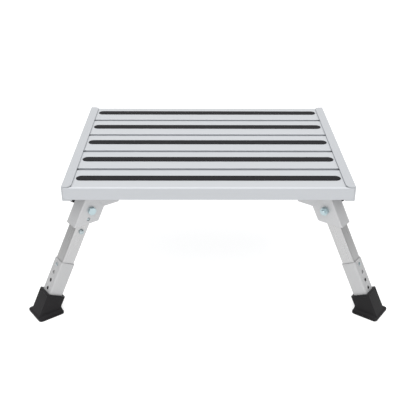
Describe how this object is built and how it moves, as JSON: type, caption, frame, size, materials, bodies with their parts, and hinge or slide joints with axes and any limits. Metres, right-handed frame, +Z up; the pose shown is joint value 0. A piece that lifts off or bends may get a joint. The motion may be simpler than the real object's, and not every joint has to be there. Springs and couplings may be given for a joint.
{
  "type": "folding platform step",
  "caption": "Low rectangular aluminium platform of grooved planks with dark grip strips, on splayed telescopic legs that fold inwards, with rubber feet.",
  "frame": {"origin": "on the ground under the middle of the platform", "axes": "+X to the right along the planks, +Y to the rear, +Z up"},
  "size_m": [0.6282, 0.4836, 0.2305],
  "materials": {
    "plank_aluminium": "satin clear anodised",
    "rail_aluminium": "satin clear anodised",
    "tube_aluminium": "satin clear anodised",
    "bracket_aluminium": "matt blasted",
    "rivet_aluminium": "plain",
    "zinc_steel": "bluish zinc plate",
    "spring_steel": "nickel plate",
    "grip_strip": "matt with fine grit",
    "foot_rubber": "matt moulded"
  },
  "bodies": {
    "platform": {"front_plank": "plank_aluminium", "plank_2": "plank_aluminium", "plank_3": "plank_aluminium", "plank_4": "plank_aluminium", "rear_plank": "plank_aluminium", "grip_strip_1": "grip_strip", "grip_strip_2": "grip_strip", "grip_strip_3": "grip_strip", "grip_strip_4": "grip_strip", "grip_strip_5": "grip_strip", "left_rail": "rail_aluminium", "right_rail": "rail_aluminium", "rail_screws_left": "zinc_steel", "rail_screws_right": "zinc_steel", "bracket_fl": "bracket_aluminium", "bracket_rivets_fl": "rivet_aluminium", "pivot_bolt_fl": "zinc_steel", "pivot_nut_fl": "zinc_steel", "pivot_sleeve_fl": "zinc_steel", "bracket_fr": "bracket_aluminium", "bracket_rivets_fr": "rivet_aluminium", "pivot_bolt_fr": "zinc_steel", "pivot_nut_fr": "zinc_steel", "pivot_sleeve_fr": "zinc_steel", "bracket_rr": "bracket_aluminium", "bracket_rivets_rr": "rivet_aluminium", "pivot_bolt_rr": "zinc_steel", "pivot_nut_rr": "zinc_steel", "pivot_sleeve_rr": "zinc_steel", "bracket_rl": "bracket_aluminium", "bracket_rivets_rl": "rivet_aluminium", "pivot_bolt_rl": "zinc_steel", "pivot_nut_rl": "zinc_steel", "pivot_sleeve_rl": "zinc_steel"},
    "leg_fl": {"inner_leg_fl": "tube_aluminium"},
    "extension_fl": {"lower_leg_fl": "tube_aluminium", "foot_fl": "foot_rubber"},
    "lock_fl": {"lock_clip_fl": "spring_steel"},
    "height_fl": {"height_clip_fl": "spring_steel"},
    "leg_fr": {"inner_leg_fr": "tube_aluminium"},
    "extension_fr": {"lower_leg_fr": "tube_aluminium", "foot_fr": "foot_rubber"},
    "lock_fr": {"lock_clip_fr": "spring_steel"},
    "height_fr": {"height_clip_fr": "spring_steel"},
    "leg_rr": {"inner_leg_rr": "tube_aluminium"},
    "extension_rr": {"lower_leg_rr": "tube_aluminium", "foot_rr": "foot_rubber"},
    "lock_rr": {"lock_clip_rr": "spring_steel"},
    "height_rr": {"height_clip_rr": "spring_steel"},
    "leg_rl": {"inner_leg_rl": "tube_aluminium"},
    "extension_rl": {"lower_leg_rl": "tube_aluminium", "foot_rl": "foot_rubber"},
    "lock_rl": {"lock_clip_rl": "spring_steel"},
    "height_rl": {"height_clip_rl": "spring_steel"}
  },
  "joints": [
    {"name": "fold_fl", "type": "hinge", "parent": "platform", "child": "leg_fl", "pos_m": [-0.2064, -0.1544, 0.1763], "axis": [0.5913, -0.8064, 0], "range_deg": [0, 113], "deforming": ["lock_clip_fl"]},
    {"name": "height_slide_fl", "type": "slide", "parent": "leg_fl", "child": "extension_fl", "axis": [0.3823, 0.2803, 0.8805], "range_m": [0, 0.0456], "deforming": ["height_clip_fl"]},
    {"name": "lock_press_fl", "type": "slide", "parent": "leg_fl", "child": "lock_fl", "axis": [-0.5913, 0.8064, 0], "range_m": [0, 0.0034], "stiffness_N_per_m": 1500, "springref_m": -0.002, "deforming": ["lock_clip_fl"]},
    {"name": "height_press_fl", "type": "slide", "parent": "leg_fl", "child": "height_fl", "axis": [0.7101, 0.5206, -0.4741], "range_m": [0, 0.0036], "stiffness_N_per_m": 1500, "springref_m": -0.002, "deforming": ["height_clip_fl"]},
    {"name": "fold_fr", "type": "hinge", "parent": "platform", "child": "leg_fr", "pos_m": [0.2064, -0.1544, 0.1763], "axis": [0.5913, 0.8064, 0], "range_deg": [0, 113], "deforming": ["lock_clip_fr"]},
    {"name": "height_slide_fr", "type": "slide", "parent": "leg_fr", "child": "extension_fr", "axis": [-0.3823, 0.2803, 0.8805], "range_m": [0, 0.0456], "deforming": ["height_clip_fr"]},
    {"name": "lock_press_fr", "type": "slide", "parent": "leg_fr", "child": "lock_fr", "axis": [-0.5913, -0.8064, 0], "range_m": [0, 0.0034], "stiffness_N_per_m": 1500, "springref_m": -0.002, "deforming": ["lock_clip_fr"]},
    {"name": "height_press_fr", "type": "slide", "parent": "leg_fr", "child": "height_fr", "axis": [-0.7101, 0.5206, -0.4741], "range_m": [0, 0.0036], "stiffness_N_per_m": 1500, "springref_m": -0.002, "deforming": ["height_clip_fr"]},
    {"name": "fold_rr", "type": "hinge", "parent": "platform", "child": "leg_rr", "pos_m": [0.2064, 0.1544, 0.1763], "axis": [-0.5913, 0.8064, 0], "range_deg": [0, 113], "deforming": ["lock_clip_rr"]},
    {"name": "height_slide_rr", "type": "slide", "parent": "leg_rr", "child": "extension_rr", "axis": [-0.3823, -0.2803, 0.8805], "range_m": [0, 0.0456], "deforming": ["height_clip_rr"]},
    {"name": "lock_press_rr", "type": "slide", "parent": "leg_rr", "child": "lock_rr", "axis": [0.5913, -0.8064, 0], "range_m": [0, 0.0034], "stiffness_N_per_m": 1500, "springref_m": -0.002, "deforming": ["lock_clip_rr"]},
    {"name": "height_press_rr", "type": "slide", "parent": "leg_rr", "child": "height_rr", "axis": [-0.7101, -0.5206, -0.4741], "range_m": [0, 0.0036], "stiffness_N_per_m": 1500, "springref_m": -0.002, "deforming": ["height_clip_rr"]},
    {"name": "fold_rl", "type": "hinge", "parent": "platform", "child": "leg_rl", "pos_m": [-0.2064, 0.1544, 0.1763], "axis": [-0.5913, -0.8064, 0], "range_deg": [0, 113], "deforming": ["lock_clip_rl"]},
    {"name": "height_slide_rl", "type": "slide", "parent": "leg_rl", "child": "extension_rl", "axis": [0.3823, -0.2803, 0.8805], "range_m": [0, 0.0456], "deforming": ["height_clip_rl"]},
    {"name": "lock_press_rl", "type": "slide", "parent": "leg_rl", "child": "lock_rl", "axis": [0.5913, 0.8064, 0], "range_m": [0, 0.0034], "stiffness_N_per_m": 1500, "springref_m": -0.002, "deforming": ["lock_clip_rl"]},
    {"name": "height_press_rl", "type": "slide", "parent": "leg_rl", "child": "height_rl", "axis": [0.7101, -0.5206, -0.4741], "range_m": [0, 0.0036], "stiffness_N_per_m": 1500, "springref_m": -0.002, "deforming": ["height_clip_rl"]}
  ]
}
